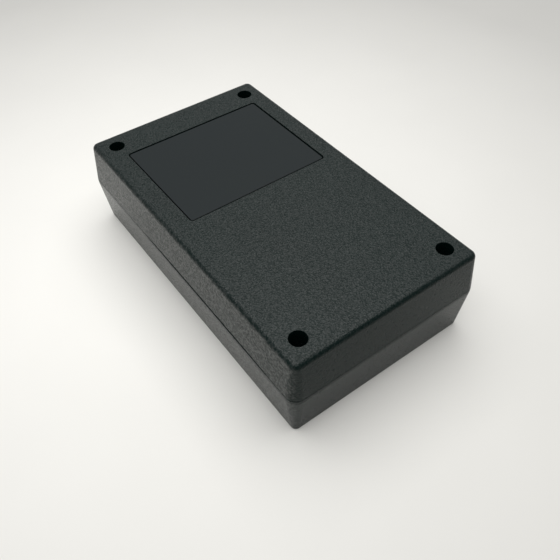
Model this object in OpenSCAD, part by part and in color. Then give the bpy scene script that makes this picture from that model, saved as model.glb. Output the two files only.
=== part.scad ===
// Hand-held plastic project box: two drafted shells that meet on a tongue and
// groove, held by four screws sunk deep in the towers of the back shell, with
// a thin plate set into a recess of the back face.
//
// The box lies on its front face. X runs across it, Y along it and Z up, with
// the origin at the middle of the surface that it lies on.

/* [Case] */
// Width of the case where the two shells meet
case_w = 82.4; // [76:0.2:110]
// Length of the case where the two shells meet
case_l = 142.8; // [128:0.2:190]
// Depth of the front shell, which lies underneath
front_depth = 21.3; // [17:0.1:26]
// Depth of the back shell, which carries the screw heads
back_depth = 16.8; // [14:0.1:24]
// Thickness of the moulded walls
wall = 2.3; // [2:0.1:3]
// Lean of the front shell's walls, in degrees
front_draft = 6.4; // [1:0.1:6.6]
// Lean of the back shell's walls, in degrees
back_draft = 6; // [1:0.1:6.4]

/* [Corners and edges] */
// Radius of the upright corners where the shells meet
corner_r = 4.2; // [4:0.1:8]
// Radius of the hollow's upright corners where the shells meet
hollow_r = 3; // [2.9:0.1:5]
// Radius round the edge of the back face
back_edge_r = 2.2; // [0.6:0.1:2.6]
// Radius round the edge of the front face
front_edge_r = 0.6; // [0.4:0.1:2]
// Radius at the foot of the inside walls
hollow_edge_r = 0.8; // [0.3:0.1:1.5]
// Width of the broken edge on each rim
rim_break = 0.15; // [0.05:0.05:0.4]
// Height of the upright band below the front shell's rim
front_band = 1.6; // [0.5:0.1:3]

/* [Rim joint] */
// Height of the front shell's tongue above its rim
tongue_h = 1.6; // [0.8:0.1:2.4]
// Thickness of the tongue
tongue_t = 1; // [0.6:0.1:1.4]
// Clearance all round the tongue in its groove
tongue_gap = 0.12; // [0.05:0.01:0.3]
// Rise of the back shell's long rims at the middle of their bow
rim_bow = 0.85; // [0.05:0.05:1.1]
// Length of that bow, measured from the plain end
bow_l = 96; // [60:1:110]
// Height of the openings between the rims at the plain end's corners
corner_gap = 0.35; // [0.1:0.05:0.5]

/* [Screw towers] */
// Side wall to the centre of a screw
screw_inset_x = 9.6; // [9.2:0.1:12]
// End wall to the centre of a screw
screw_inset_y = 10.1; // [9.4:0.1:13]
// Diameter of the hole that takes the screw head
head_bore_d = 6.4; // [6.2:0.1:7]
// Diameter of a screw tower
tower_d = 9.2; // [8.6:0.1:10]
// Plastic left under the screw head
seat_t = 4; // [2.5:0.1:7]
// Diameter of the clearance hole below the head
clear_hole_d = 3.2; // [3:0.1:4]
// Diameter of a front boss
boss_d = 7.4; // [6.4:0.1:8.4]
// Diameter of the pilot hole in a front boss
pilot_d = 2.4; // [2:0.1:2.8]
// Depth of the pilot hole
pilot_depth = 11; // [9.5:0.1:13]
// Thickness of the ribs that tie towers and bosses to the walls
rib_t = 1.4; // [0.9:0.1:2]

/* [Screws] */
// Diameter of the pan head
head_d = 5.6; // [4.6:0.1:6]
// Height of the pan head
head_h = 2; // [1.4:0.1:2.6]
// Length of the screw below its head
screw_l = 12.5; // [9:0.5:13]
// Clearance between the screw's core and the pilot hole, all round
core_gap = 0.05; // [0.02:0.01:0.1]
// Width of one arm of the cross recess
cross_t = 0.8; // [0.5:0.1:1.1]
// Length of one arm of the cross recess
cross_l = 3; // [2:0.1:3.4]
// Depth of the cross recess
cross_depth = 1; // [0.5:0.1:1.2]

/* [Label plate] */
// Width of the recess in the back face
recess_w = 62; // [40:0.5:64]
// Length of the recess along the case
recess_l = 50.4; // [30:0.2:60]
// Corner radius of the recess
recess_r = 1.5; // [1:0.1:4]
// Depth of the recess
recess_depth = 1.2; // [0.8:0.1:2]
// End of the case to the near edge of the recess
recess_inset = 17.7; // [17:0.1:24]
// How far the recess lies off the case's centre line
recess_shift = 0.3; // [-0.6:0.1:0.6]
// Gap round the plate in its recess
plate_gap = 0.5; // [0.2:0.05:0.9]
// How far the plate lies below the face
plate_drop = 0.1; // [0:0.05:0.4]
// How far the plate lies off the recess's middle, across the case
plate_shift_x = -0.1; // [-0.15:0.05:0.15]
// How far the plate lies off the recess's middle, along the case
plate_shift_y = -0.05; // [-0.15:0.05:0.15]
// Radius round the plate's upper edge
plate_edge_r = 0.25; // [0.1:0.05:0.4]

/* [Board mounts] */
// Distance across the case between the board posts
post_dx = 54; // [30:1:56]
// Distance along the case between the board posts
post_dy = 88; // [50:1:96]
// Height of a board post above the floor
post_h = 6; // [3:0.5:9]
// Diameter of a board post
post_d = 6; // [5:0.1:7]
// Diameter of the screw hole in a board post
post_hole_d = 2.4; // [2:0.1:3]
// Depth of the screw hole in a board post
post_hole_depth = 5.5; // [3:0.1:7]
// Thickness of a board that slides into the wall guides
board_t = 1.6; // [1:0.1:2.4]
// Clearance of that board in its guide
board_gap = 0.2; // [0.1:0.05:0.4]
// How far a guide rib stands out of the wall
guide_out = 2; // [1:0.1:3]
// Thickness of a guide rib
guide_t = 1.2; // [0.8:0.1:1.6]
// Distance along the case between the guides
guide_pitch = 44; // [20:1:70]

/* [Hidden] */
$fn = 96;
seam_z = front_depth;
screw_x = case_w / 2 - screw_inset_x;
screw_y = case_l / 2 - screw_inset_y;
recess_y = case_l / 2 - recess_inset - recess_l / 2;
plate_t = recess_depth - plate_drop;
core_d = pilot_d - 2 * core_gap;
land = wall - tongue_t;       // rim outside the tongue
tip_h = core_d * 0.6;         // pointed end of the screw
cut = 1;                      // how far a cutter runs past a face
bow_steps = 12;

// ---- Drafted forms. Each stands with its mouth at z = 0 and its face above.

// To a tenth of a micron, so that forms that join share their corners exactly.
function snap(x) = round(x * 10000) / 10000;

// Section of a wall, outward from the corners' centre line: it stands upright
// for a band beside the mouth, leans in and rounds over into the face.
module wall_section(r, depth, lean, edge_r, mouth_break, band) {
    round_r = snap(min(edge_r, 0.95 * (r - (depth - band) * tan(lean))));
    arc_z = depth - round_r;
    arc_x = snap(r - (arc_z - band) * tan(lean) - round_r);
    polygon([
        [0, 0],
        [r - mouth_break, 0],
        [snap(r - max(mouth_break - band, 0) * tan(lean)), mouth_break],
        if (band > mouth_break) [r, band],
        [arc_x + round_r, arc_z],
        [0, arc_z]
    ]);
    translate([0, arc_z])
        square([arc_x, round_r]);
    translate([arc_x, arc_z])
        intersection() {
            circle(round_r);
            square(2 * round_r);
        }
}

// The section given as child, along four straight sides and round the corners.
module swept_block(w, l, r, h) {
    reach_x = w / 2 - r;
    reach_y = l / 2 - r;
    translate([-reach_x, -reach_y, 0])
        cube([2 * reach_x, 2 * reach_y, h]);
    for (turn = [0 : 90 : 270]) {
        across = turn % 180 == 0 ? reach_x : reach_y;
        along = turn % 180 == 0 ? reach_y : reach_x;
        rotate(turn) {
            translate([across, 0, 0])
                rotate([90, 0, 0])
                    linear_extrude(2 * along, center = true)
                        children();
            translate([across, along, 0])
                rotate_extrude(angle = 90)
                    children();
        }
    }
}

module drafted_block(w, l, r, depth, lean, edge_r, mouth_break = 0, band = 0) {
    swept_block(w, l, r, depth)
        wall_section(r, depth, lean, edge_r, mouth_break, band);
}

module rounded_slab(w, l, r, h) {
    swept_block(w, l, r, h)
        square([r, h]);
}

module outer_form(depth, lean, edge_r, band) {
    drafted_block(case_w, case_l, corner_r, depth, lean, edge_r, rim_break, band);
}

module hollow_form(depth, lean) {
    drafted_block(
        case_w - 2 * wall, case_l - 2 * wall, hollow_r, depth - wall, lean, hollow_edge_r
    );
}

// ---- Features that both shells share

module at_screws() {
    for (side = [-1, 1], end = [-1, 1])
        translate([side * screw_x, end * screw_y, 0])
            children();
}

module at_posts() {
    for (side = [-1, 1], end = [-1, 1])
        translate([side * post_dx / 2, end * post_dy / 2, 0])
            children();
}

// An upright rib along X, from start to the middle of a leaning wall.
module rib_to_wall(start, mouth_reach, low, high, lean, thickness) {
    middle = mouth_reach - wall / 2;
    rotate([90, 0, 0])
        linear_extrude(thickness, center = true)
            polygon([
                [start, low],
                [middle - low * tan(lean), low],
                [middle - high * tan(lean), high],
                [start, high]
            ]);
}

// Ribs that tie each screw tower to its side wall and its end wall.
module tower_ribs(low, high, lean) {
    for (side = [0, 1], end = [0, 1])
        mirror([side, 0, 0])
            mirror([0, end, 0]) {
                translate([0, screw_y, 0])
                    rib_to_wall(screw_x, case_w / 2, low, high, lean, rib_t);
                translate([screw_x, 0, 0])
                    rotate(90)
                        rib_to_wall(screw_y, case_l / 2, low, high, lean, rib_t);
            }
}

// Pairs of ribs down the long walls; a small board slides between each pair.
module board_guides(low, high, lean) {
    spread = (board_t + guide_t) / 2 + board_gap;
    for (side = [0, 1], at = [-1, 1], rib = [-1, 1])
        mirror([side, 0, 0])
            translate([0, at * guide_pitch / 2 + rib * spread, 0])
                intersection() {
                    rib_to_wall(case_w / 4, case_w / 2, low, high, lean, guide_t);
                    rotate([90, 0, 0])
                        linear_extrude(2 * guide_t, center = true)
                            guide_strip(low, high, lean);
                }
}

// The strip beside the wall that a guide rib keeps to.
module guide_strip(low, high, lean) {
    inner = case_w / 2 - wall - guide_out;
    polygon([
        [inner - low * tan(lean), low],
        [case_w / 2, low],
        [case_w / 2, high],
        [inner - high * tan(lean), high]
    ]);
}

// ---- Front shell, built mouth down and turned over into place

module tongue() {
    difference() {
        rounded_slab(case_w - 2 * land, case_l - 2 * land, corner_r - land, tongue_h);
        translate([0, 0, -cut])
            rounded_slab(
                case_w - 2 * wall, case_l - 2 * wall, hollow_r, tongue_h + 2 * cut
            );
    }
}

module board_post(floor_z) {
    difference() {
        translate([0, 0, floor_z - post_h])
            cylinder(h = post_h + wall / 2, d = post_d);
        translate([0, 0, floor_z - post_h - cut])
            cylinder(h = post_hole_depth + cut, d = post_hole_d);
    }
}

module front_body() {
    floor_z = front_depth - wall;
    difference() {
        union() {
            difference() {
                outer_form(front_depth, front_draft, front_edge_r, front_band);
                hollow_form(front_depth, front_draft);
            }
            at_screws()
                cylinder(h = floor_z + wall / 2, d = boss_d);
            tower_ribs(tongue_h, floor_z + wall / 2, front_draft);
            board_guides(tongue_h, floor_z + wall / 2, front_draft);
        }
        at_screws()
            translate([0, 0, -cut])
                cylinder(h = pilot_depth + cut, d = pilot_d);
    }
    at_posts()
        board_post(floor_z);
}

module front_shell() {
    color([0.2, 0.21, 0.21])
        translate([0, 0, seam_z]) {
            mirror([0, 0, 1])
                front_body();
            tongue();
        }
}

// ---- Back shell, built mouth down as it lies

module groove() {
    reach = tongue_t + tongue_gap;
    difference() {
        translate([0, 0, -cut])
            rounded_slab(
                case_w - 2 * (wall - reach), case_l - 2 * (wall - reach),
                corner_r - wall + reach, tongue_h + tongue_gap + cut
            );
        translate([0, 0, -2 * cut])
            rounded_slab(
                case_w - 2 * (wall + tongue_gap), case_l - 2 * (wall + tongue_gap),
                hollow_r - tongue_gap, tongue_h + tongue_gap + 4 * cut
            );
    }
}

// A shallow arch in each long rim, from the plain end's corner to past the middle.
module bowed_rims() {
    reach = bow_l / 2;
    rim_out = land - tongue_gap / 2;
    for (side = [0, 1])
        mirror([side, 0, 0])
            translate([case_w / 2 - rim_out, reach + 1.5 * corner_r - case_l / 2, 0])
                rotate([90, 0, 90])
                    linear_extrude(rim_out + cut)
                        polygon(concat(
                            [[reach, -cut], [-reach, -cut]],
                            [for (i = [0 : bow_steps])
                                let (u = 2 * i / bow_steps - 1)
                                [u * reach, rim_bow * (1 - u ^ 4)]]
                        ));
}

// Shallow openings at the plain end's corners, where a blade parts the shells.
module corner_openings() {
    for (side = [-1, 1])
        translate([side * case_w / 2, -case_l / 2, -cut])
            cylinder(h = corner_gap + cut, r = (sqrt(2) - 1) * corner_r + 0.7 * land);
}

module back_shell() {
    roof_z = back_depth - wall;
    color([0.21, 0.22, 0.22])
        translate([0, 0, seam_z])
            difference() {
                union() {
                    difference() {
                        outer_form(back_depth, back_draft, back_edge_r, 0);
                        hollow_form(back_depth, back_draft);
                    }
                    at_screws()
                        cylinder(h = roof_z + wall / 2, d = tower_d);
                    tower_ribs(tongue_h, roof_z + wall / 2, back_draft);
                    board_guides(2 * tongue_h, roof_z + wall / 2, back_draft);
                    // The roof steps down under the recess and keeps its thickness.
                    translate([recess_shift, recess_y, roof_z - recess_depth])
                        rounded_slab(
                            recess_w + wall, recess_l + wall, recess_r, recess_depth + wall / 2
                        );
                }
                groove();
                bowed_rims();
                corner_openings();
                translate([recess_shift, recess_y, back_depth - recess_depth])
                    rounded_slab(recess_w, recess_l, recess_r, recess_depth + cut);
                at_screws() {
                    translate([0, 0, seat_t])
                        cylinder(h = back_depth, d = head_bore_d);
                    translate([0, 0, -cut])
                        cylinder(h = back_depth, d = clear_hole_d);
                }
            }
}

// ---- Label plate, seated on the floor of the recess

module label_plate() {
    color([0.18, 0.19, 0.2])
        translate([
            recess_shift + plate_shift_x, recess_y + plate_shift_y,
            seam_z + back_depth - recess_depth
        ])
            drafted_block(
                recess_w - 2 * plate_gap, recess_l - 2 * plate_gap,
                recess_r - plate_gap, plate_t, 0, plate_edge_r
            );
}

// ---- Screws: pan heads with a cross recess, and the core of the thread

module head_section() {
    crown_r = head_h * 0.6;
    square([head_d / 2 - crown_r, head_h]);
    square([head_d / 2, head_h - crown_r]);
    translate([head_d / 2 - crown_r, head_h - crown_r])
        circle(crown_r);
}

module case_screw() {
    difference() {
        rotate_extrude()
            intersection() {
                head_section();
                square([head_d, head_h]);
            }
        for (turn = [0, 90])
            rotate(turn)
                translate([-cross_l / 2, -cross_t / 2, head_h - cross_depth])
                    cube([cross_l, cross_t, cross_depth + cut]);
    }
    translate([0, 0, tip_h - screw_l])
        cylinder(h = screw_l - tip_h, d = core_d);
    translate([0, 0, -screw_l])
        cylinder(h = tip_h, d1 = core_d / 4, d2 = core_d);
}

module case_screws() {
    color([0.08, 0.08, 0.09])
        translate([0, 0, seam_z + seat_t])
            at_screws()
                case_screw();
}

front_shell();
back_shell();
label_plate();
case_screws();
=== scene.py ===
# %% [markdown]
# # A plastic project box, dressed and lit
#
# The box is a hand-held electronics case: a front shell and a back shell moulded
# in black plastic, a thin smooth plate in the back, and four screws at the bottom
# of deep holes. Its solids come in ready-made, at their real size in metres.
# This lesson adds what solids lack: the grain of the mould, the satin of the
# plate, the black film on the screws, a pale table and the soft light of a room.

# %% Load the box
import bpy
import math
from mathutils import Matrix, Vector


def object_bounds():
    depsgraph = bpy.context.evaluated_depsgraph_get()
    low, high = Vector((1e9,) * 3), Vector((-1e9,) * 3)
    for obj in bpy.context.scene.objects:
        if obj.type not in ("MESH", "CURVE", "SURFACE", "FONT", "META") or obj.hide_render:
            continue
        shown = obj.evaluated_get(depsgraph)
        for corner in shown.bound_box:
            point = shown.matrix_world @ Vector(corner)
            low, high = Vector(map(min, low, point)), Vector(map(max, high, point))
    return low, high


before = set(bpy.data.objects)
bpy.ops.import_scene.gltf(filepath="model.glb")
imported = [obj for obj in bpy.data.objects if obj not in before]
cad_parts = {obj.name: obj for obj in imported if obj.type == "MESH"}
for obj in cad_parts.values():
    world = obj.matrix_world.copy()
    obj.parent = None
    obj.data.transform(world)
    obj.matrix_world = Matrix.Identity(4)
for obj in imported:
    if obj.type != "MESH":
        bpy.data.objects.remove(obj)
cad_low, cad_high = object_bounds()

MM = 0.001
cad_size = cad_high - cad_low
print("box", [round(side / MM, 1) for side in cad_size], "mm; nodes", sorted(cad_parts))

# %% [markdown]
# ## Camera
#
# The camera comes first, because everything after it is judged through it. It
# could be placed by typing a location and three angles, but those numbers say
# nothing to a reader. Here it is set as a person with a camera would do it: a
# point on the table to aim at, how far round and how high to stand, how far
# away, and how much the hand was tilted.

# %% Camera
AIM = Vector((-2.28, -10.77, 0)) * MM
ROUND = math.radians(-35.03)   # to the left of the plain end
HEIGHT = math.radians(48.17)   # above the table
DISTANCE = 257.7 * MM
TILT = math.radians(-1.64)
LENS = 40.27                   # mm
SENSOR = 36                    # mm

back = Vector((
    math.sin(ROUND) * math.cos(HEIGHT),
    -math.cos(ROUND) * math.cos(HEIGHT),
    math.sin(HEIGHT),
))
level = back.to_track_quat("Z", "Y").to_matrix().to_4x4()
camera = bpy.data.objects.new("camera", bpy.data.cameras.new("camera"))
camera.data.sensor_width = SENSOR
camera.data.lens = LENS
camera.matrix_world = (
    Matrix.Translation(AIM + back * DISTANCE) @ level @ Matrix.Rotation(TILT, 4, "Z")
)
bpy.context.scene.collection.objects.link(camera)
bpy.context.scene.camera = camera
print("camera at", [round(part / MM, 1) for part in camera.matrix_world.translation], "mm")

# %% [markdown]
# ## Writing shader maths as sums
#
# A grain is a sum of patterns, and a sum drawn as boxes and wires is hard to
# read. A small class can hold one output socket and add a Math node whenever
# Python meets +, - or * beside it, so the source keeps the formula. The
# reflected forms let a plain number stand on the left, as in 1 - mask.

# %% Wires that can be added and multiplied
class Wire:
    """One output socket. Arithmetic on it adds Math nodes to its tree."""

    def __init__(self, board, socket):
        self.board = board
        self.socket = socket

    def maths(self, operation, first, second):
        return self.board.add("ShaderNodeMath", {"operation": operation}, {0: first, 1: second})

    def __add__(self, other):
        return self.maths("ADD", self, other)

    def __radd__(self, other):
        return self.maths("ADD", other, self)

    def __sub__(self, other):
        return self.maths("SUBTRACT", self, other)

    def __rsub__(self, other):
        return self.maths("SUBTRACT", other, self)

    def __mul__(self, other):
        return self.maths("MULTIPLY", self, other)

    def __rmul__(self, other):
        return self.maths("MULTIPLY", other, self)


print("wires ready")

# %% [markdown]
# ## A board for the nodes
#
# Every other node comes from one method, which takes the node's type, its
# settings and what goes into its sockets. The methods below it name the few
# things that the finishes of this box ask for again and again: noise of a given
# size, a bump of a given height, a blend of two colours, and which way the
# surface faces.

# %% Board
class Board:
    """A node tree, emptied and ready for new nodes."""

    def __init__(self, tree):
        self.tree = tree
        self.tree.nodes.clear()

    def add(self, kind, settings=None, sockets=None, output=0):
        """Adds one node: its settings first, then the values or wires of its sockets."""
        node = self.tree.nodes.new(kind)
        for name, value in (settings or {}).items():
            if name == "stops":
                self.set_stops(node.color_ramp, value)
            else:
                setattr(node, name, value)
        for name, value in (sockets or {}).items():
            if isinstance(value, Wire):
                self.tree.links.new(value.socket, node.inputs[name])
            else:
                node.inputs[name].default_value = value
        return Wire(self, node.outputs[output]) if node.outputs else node

    def set_stops(self, ramp, stops):
        """Gives a ramp its stops, each a place and a grey level."""
        while len(ramp.elements) < len(stops):
            ramp.elements.new(1)
        for element, (place, level) in zip(ramp.elements, stops):
            element.position = place
            element.color = (level, level, level, 1)

    def in_millimetres(self):
        """The place on the object, in millimetres."""
        place = self.add("ShaderNodeTexCoord", output="Object")
        return self.add("ShaderNodeVectorMath", {"operation": "SCALE"}, {0: place, 3: 1 / MM})

    def noise(self, place, across, detail, output=0):
        """Noise whose blotches are so many millimetres across."""
        return self.add(
            "ShaderNodeTexNoise", None,
            {"Vector": place, "Scale": 1 / across, "Detail": detail}, output=output,
        )

    def relief(self, height, depth):
        """Shades the surface as if it rose and fell by depth, in millimetres."""
        return self.add(
            "ShaderNodeBump", None, {"Strength": 1.0, "Distance": depth * MM, "Height": height}
        )

    def blend(self, share, first, second):
        """A colour that goes from first to second as share goes from 0 to 1."""
        return self.add(
            "ShaderNodeMix", {"data_type": "RGBA"}, {0: share, 6: first, 7: second}, output=2
        )

    def facing(self, axis):
        """1 or -1 where the surface faces along the axis, and 0 where it faces across it."""
        normal = self.add("ShaderNodeNewGeometry", output="Normal")
        return self.add("ShaderNodeSeparateXYZ", None, {0: normal}, output=axis)


def new_material(name):
    material = bpy.data.materials.new(name)
    material.use_nodes = True
    return material, Board(material.node_tree)


print("board ready")

# %% [markdown]
# ## The grain of the mould
#
# The mould was roughened with sparks, so the plastic is covered in flat pebbles
# about half a millimetre across, with a finer grit on top. They could be cut
# into the mesh, but at this size that takes millions of faces. A bump of the
# same height catches the light in the same way: rounded cells for the pebbles,
# bent a little so that no two are alike, and fine noise for the grit.

# %% Grain
PEBBLE = 0.52          # mm across
PEBBLE_MELT = 0.7      # how far neighbouring pebbles melt together, from 0 to 1
PEBBLE_SHARE = 0.65    # of the grain's height; the grit makes up the rest
GRIT = 0.25            # mm across
GRAIN_HEIGHT = 0.16    # mm


def grain(board, place):
    """Height of the grain, from 0 in the pits to 1 on the pebbles' tops."""
    warp = board.noise(place, 2 * PEBBLE, 2.0, output="Color")
    bent = board.add("ShaderNodeVectorMath", {"operation": "ADD"}, {0: place, 1: warp})
    pebbles = 1 - board.add(
        "ShaderNodeTexVoronoi", {"feature": "SMOOTH_F1"},
        {"Vector": bent, "Scale": 1 / PEBBLE, "Smoothness": PEBBLE_MELT},
    )
    grit = board.noise(place, GRIT, 2.0)
    return PEBBLE_SHARE * pebbles + (1 - PEBBLE_SHARE) * grit


print("grain of", PEBBLE, "mm pebbles and", GRIT, "mm grit")

# %% [markdown]
# ## Where shade is painted on the plastic
#
# What the eye reads as grain is mostly shine. The pebbles' tops mirror the room,
# and the pits between them trap the light. That trapped light is painted shade:
# the plastic is a mix of a shiny one and a dull, shaded copy of it, and the height
# of the grain says how much of each. The two end walls go most of the way to the
# shaded copy, as painted shade on them. The long sides are shinier in some patches
# than in others.

# %% Painted shade and patches
PAINTED_PIT_SHADE = [(0.4, 0.85), (0.75, 0.15)]   # height, share of the dull copy: painted shade in the pits
PATCH = 1.0            # mm across
PATCHINESS = 6.0       # how much the patches on the long sides differ
END_WALL_PAINTED_SHADE = 0.85    # how far the end walls go from shiny to dull: painted shade on them


def painted_shade_and_patches(board, place, height):
    """Share of the dull copy at each place: painted shade in the pits and on the end walls, and
    random patches on the long sides.
    """
    sideways = board.facing("X")
    endways = board.facing("Y")
    patches = board.noise(place, PATCH, 1.0) - 0.5
    uneven = height + PATCHINESS * sideways * sideways * patches
    # Painted shade: low places in the grain get the dull copy, which reflects less.
    pit_shade_and_patches = board.add("ShaderNodeValToRGB", {"stops": PAINTED_PIT_SHADE}, {0: uneven})
    # Painted shade: the end walls, which face along Y, get more of the dull copy.
    return pit_shade_and_patches + END_WALL_PAINTED_SHADE * endways * endways * (1 - pit_shade_and_patches)


print("end walls", END_WALL_PAINTED_SHADE, "of the way to dull")

# %% [markdown]
# ## Black plastic for both shells
#
# The shells are one black, faintly green, that clouds a little over a few
# centimetres, as pigment does in a moulding. In the pits the grain makes it
# darker still, which is painted shade. One material could vary its index of
# refraction instead of mixing two, but then the value couldn't be baked, so the
# plastic and its shaded copy differ in that one number alone and share everything else.

# %% Grained plastic
SHINE = 1.53           # index of refraction of the pebbles' tops
SHADED_COPY_SHINE = 1.22      # the same for the dull copy, painted shade for the pits, which hide part of their shine
SHELL_POLISH = 0.12    # roughness of the pebbles' tops
PIT_ROUGHNESS = 0.25   # how much rougher the pits are
SHELL_CLOUD = 35       # mm across
CLOUD_SHARE = 0.4      # of the colour's change; the grain's height makes up the rest, darker in the pits as painted shade


def grained_plastic(name, dark, light):
    material, board = new_material(name)
    place = board.in_millimetres()
    height = grain(board, place)
    bump = board.relief(height, GRAIN_HEIGHT)
    cloud = board.noise(place, SHELL_CLOUD, 3.0)
    # The second copy reflects less: it is painted shade for the pits and the end walls.
    shiny, shaded = [
        board.add("ShaderNodeBsdfPrincipled", None, {
            # Darker colour in the pits than on the pebbles' tops: painted shade.
            "Base Color": board.blend(
                cloud * CLOUD_SHARE + height * (1 - CLOUD_SHARE), dark, light
            ),
            "Roughness": SHELL_POLISH + PIT_ROUGHNESS * (1 - height),
            "Normal": bump,
            "IOR": shine,
        })
        for shine in (SHINE, SHADED_COPY_SHINE)
    ]
    surface = board.add(
        "ShaderNodeMixShader", None, {0: painted_shade_and_patches(board, place, height), 1: shiny, 2: shaded}
    )
    board.add("ShaderNodeOutputMaterial", None, {"Surface": surface})
    return material


shell_black = grained_plastic(
    "grained_black", (0.0, 0.004, 0.0035, 1), (0.002, 0.011, 0.0095, 1)
)
print("made", shell_black.name)

# %% [markdown]
# ## Satin plate
#
# The plate is a smooth piece with a bluer black. It needs no pebbles, only a
# haze of very fine marks that breaks up the reflection. Without that haze the
# plate would mirror the ceiling like glass. Its edges are matt black, painted
# shade: they stand in a narrow gap, and a shiny edge would draw a pale line there.

# %% Satin plastic
HAZE = 0.22              # mm across
HAZE_HEIGHT = 0.006      # mm
PLATE_SHINE = 1.3        # index of refraction
SHADED_EDGE_SHINE = 1.05        # the same for the matt black edges, painted shade in the gap
PLATE_ROUGHNESS = 0.4
PLATE_CLOUD = 22         # mm across
CLOUD_WEAR = 0.08        # roughness that the cloud adds
HAZE_WEAR = 0.05         # roughness that the haze adds


def satin_plastic(name, dark, light):
    material, board = new_material(name)
    place = board.in_millimetres()
    haze = board.noise(place, HAZE, 2.0)
    cloud = board.noise(place, PLATE_CLOUD, 3.0)
    satin = board.add("ShaderNodeBsdfPrincipled", None, {
        "Base Color": board.blend(cloud, dark, light),
        "Roughness": PLATE_ROUGHNESS + CLOUD_WEAR * cloud + HAZE_WEAR * haze,
        "Normal": board.relief(haze, HAZE_HEIGHT),
        "IOR": PLATE_SHINE,
    })
    # Painted shade: the plate's edges, down in the gap, are matt black.
    painted_gap_shade = board.add("ShaderNodeBsdfPrincipled", None, {
        "Base Color": (0, 0, 0, 1), "Roughness": 1.0, "IOR": SHADED_EDGE_SHINE,
    })
    upward = board.facing("Z")
    surface = board.add(
        "ShaderNodeMixShader", None, {0: 1 - upward * upward, 1: satin, 2: painted_gap_shade}
    )
    board.add("ShaderNodeOutputMaterial", None, {"Surface": surface})
    return material


plate_black = satin_plastic(
    "satin_black", (0.0035, 0.008, 0.009, 1), (0.0045, 0.0095, 0.011, 1)
)
print("made", plate_black.name)

# %% [markdown]
# ## Blackened steel
#
# The screws sit at the bottom of deep holes and hardly show. They still get
# their own finish: an oily black film over steel, rubbed brighter in patches.

# %% Blackened steel
FILM = (0.012, 0.012, 0.014, 1)
RUBBED = (0.06, 0.06, 0.065, 1)
RUB = 1 / 1.2            # mm across
FILM_ROUGHNESS = 0.3
RUB_WEAR = 0.25          # roughness that the rubbing adds


def blackened_steel(name):
    material, board = new_material(name)
    rubbing = board.noise(board.in_millimetres(), RUB, 4.0)
    surface = board.add("ShaderNodeBsdfPrincipled", None, {
        "Base Color": board.blend(rubbing, FILM, RUBBED),
        "Metallic": 1.0,
        "Roughness": FILM_ROUGHNESS + RUB_WEAR * rubbing,
    })
    board.add("ShaderNodeOutputMaterial", None, {"Surface": surface})
    return material


screw_black = blackened_steel("blackened_steel")
print("made", screw_black.name)

# %% [markdown]
# ## Dressing the box
#
# Each solid came in with a slot that waits for its material. Both shells share
# one black, because nothing tells their plastic apart.

# %% Put each finish on its node
FINISHES = {
    "front_shell": shell_black,
    "back_shell": shell_black,
    "label_plate": plate_black,
    "case_screws": screw_black,
}
for node_name, material in FINISHES.items():
    for material_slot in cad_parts[node_name].material_slots:
        material_slot.material = material
    print(node_name, "gets", material.name)

# %% [markdown]
# ## Table
#
# The box lies on a plain pale table. The table is brightest round the box and
# fades away from it, like the pool of light on a workbench. A lamp close to the
# table would give the same fade, but it would also light one end of the box more
# than the other. Painting the fade into the table's colour keeps the light on
# the box even.

# %% Pale top
PALE = (0.86, 0.855, 0.825, 1)
POOL_CENTRE = (-22, 34, 0)   # mm
POOL = [(0.06, 1.0), (0.15, 0.82), (0.27, 0.59), (0.8, 0.33)]   # distance in m, brightness
TABLE_CLOUD = 60             # mm across
TABLE_UNEVENNESS = 0.06      # how much the cloud changes the brightness
TABLE_ROUGHNESS = 0.6


def pale_top(name):
    material, board = new_material(name)
    place = board.in_millimetres()
    distance = board.add(
        "ShaderNodeVectorMath", {"operation": "DISTANCE"}, {0: place, 1: POOL_CENTRE},
        output="Value",
    )
    pool = board.add("ShaderNodeValToRGB", {"stops": POOL}, {0: distance * MM})
    cloud = board.noise(place, TABLE_CLOUD, 3.0)
    shade = pool * (1 - TABLE_UNEVENNESS / 2 + TABLE_UNEVENNESS * cloud)
    surface = board.add("ShaderNodeBsdfPrincipled", None, {
        "Base Color": board.blend(shade, (0, 0, 0, 1), PALE),
        "Roughness": TABLE_ROUGHNESS,
    })
    board.add("ShaderNodeOutputMaterial", None, {"Surface": surface})
    return material


table_pale = pale_top("pale_table")
print("made", table_pale.name)

# %% Table
TABLE_REACH = 4.0            # m from the middle of the box to each edge

table_mesh = bpy.data.meshes.new("table")
table_mesh.from_pydata(
    [
        (-TABLE_REACH, -TABLE_REACH, 0),
        (TABLE_REACH, -TABLE_REACH, 0),
        (TABLE_REACH, TABLE_REACH, 0),
        (-TABLE_REACH, TABLE_REACH, 0),
    ],
    [],
    [(0, 1, 2, 3)],
)
table_mesh.materials.append(table_pale)
table = bpy.data.objects.new("table", table_mesh)
bpy.context.scene.collection.objects.link(table)
print("table", TABLE_REACH * 2, "m across")

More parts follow.
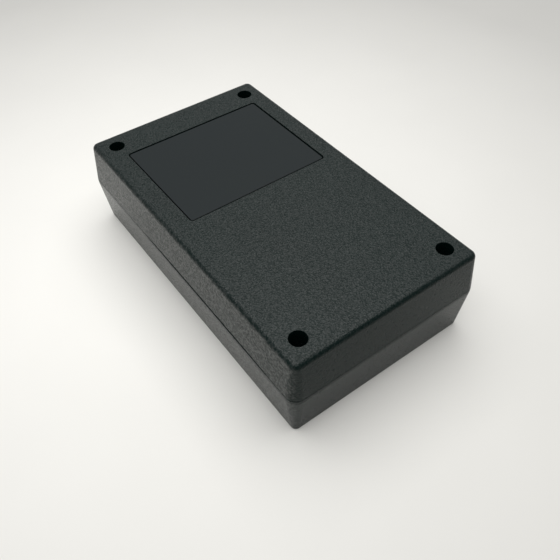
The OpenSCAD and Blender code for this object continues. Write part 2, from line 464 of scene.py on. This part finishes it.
# %% [markdown]
# ## Light
#
# Black plastic shows the room more than it shows itself, so the light is chosen
# for what the box mirrors. A ceiling that glows from wall to wall lies in the
# mirror direction of the top face and of its rounded edges. One small lamp
# would leave a bright spot there and a hard shadow on the table. A lamp three
# metres wide gives an even sheen, and a shadow that is only dark near the box.
# It hangs level and shines straight down, so it needs no turning.

# %% Ceiling lamp
LAMP_WIDTH = 3.0                # m
LAMP_POWER = 51.0               # W
LAMP_PLACE = (0.1, 0.45, 2.0)   # m
LAMP_COLOUR = (1.0, 0.99, 0.97)

lamp_data = bpy.data.lights.new("ceiling_lamp", "AREA")
lamp_data.shape = "SQUARE"
lamp_data.size = LAMP_WIDTH
lamp_data.energy = LAMP_POWER
lamp_data.color = LAMP_COLOUR
ceiling_lamp = bpy.data.objects.new("ceiling_lamp", lamp_data)
ceiling_lamp.location = LAMP_PLACE
bpy.context.scene.collection.objects.link(ceiling_lamp)
print("lamp", LAMP_WIDTH, "m wide,", LAMP_PLACE[2], "m above the table")

# %% [markdown]
# ## Room
#
# The walls fill in what the ceiling leaves. The far side of the room is pale,
# and the side behind the camera is dark, because a person stands there. That
# darkness is what the near edge of the box mirrors, as a dark line below its
# bright rim. The world blends between the two by direction.

# %% Room
BRIGHT_SIDE = (0, 0.5, 0.5)
TONES = [(0.1, 0.2), (0.8, 0.5)]   # how far toward the bright side, brightness

world = bpy.data.worlds.new("room")
bpy.context.scene.world = world
world.use_nodes = True
room = Board(world.node_tree)
direction = room.add("ShaderNodeTexCoord", output="Generated")
toward = room.add(
    "ShaderNodeVectorMath", {"operation": "DOT_PRODUCT"}, {0: direction, 1: BRIGHT_SIDE},
    output="Value",
)
tone = room.add("ShaderNodeValToRGB", {"stops": TONES}, {0: toward + 0.5})
sky = room.add("ShaderNodeBackground", None, {"Color": tone, "Strength": 1.0})
room.add("ShaderNodeOutputWorld", None, {"Surface": sky})
bpy.context.scene.view_settings.view_transform = "Standard"
print("room from", TONES[0][1], "behind the camera to", TONES[1][1], "on the far side")
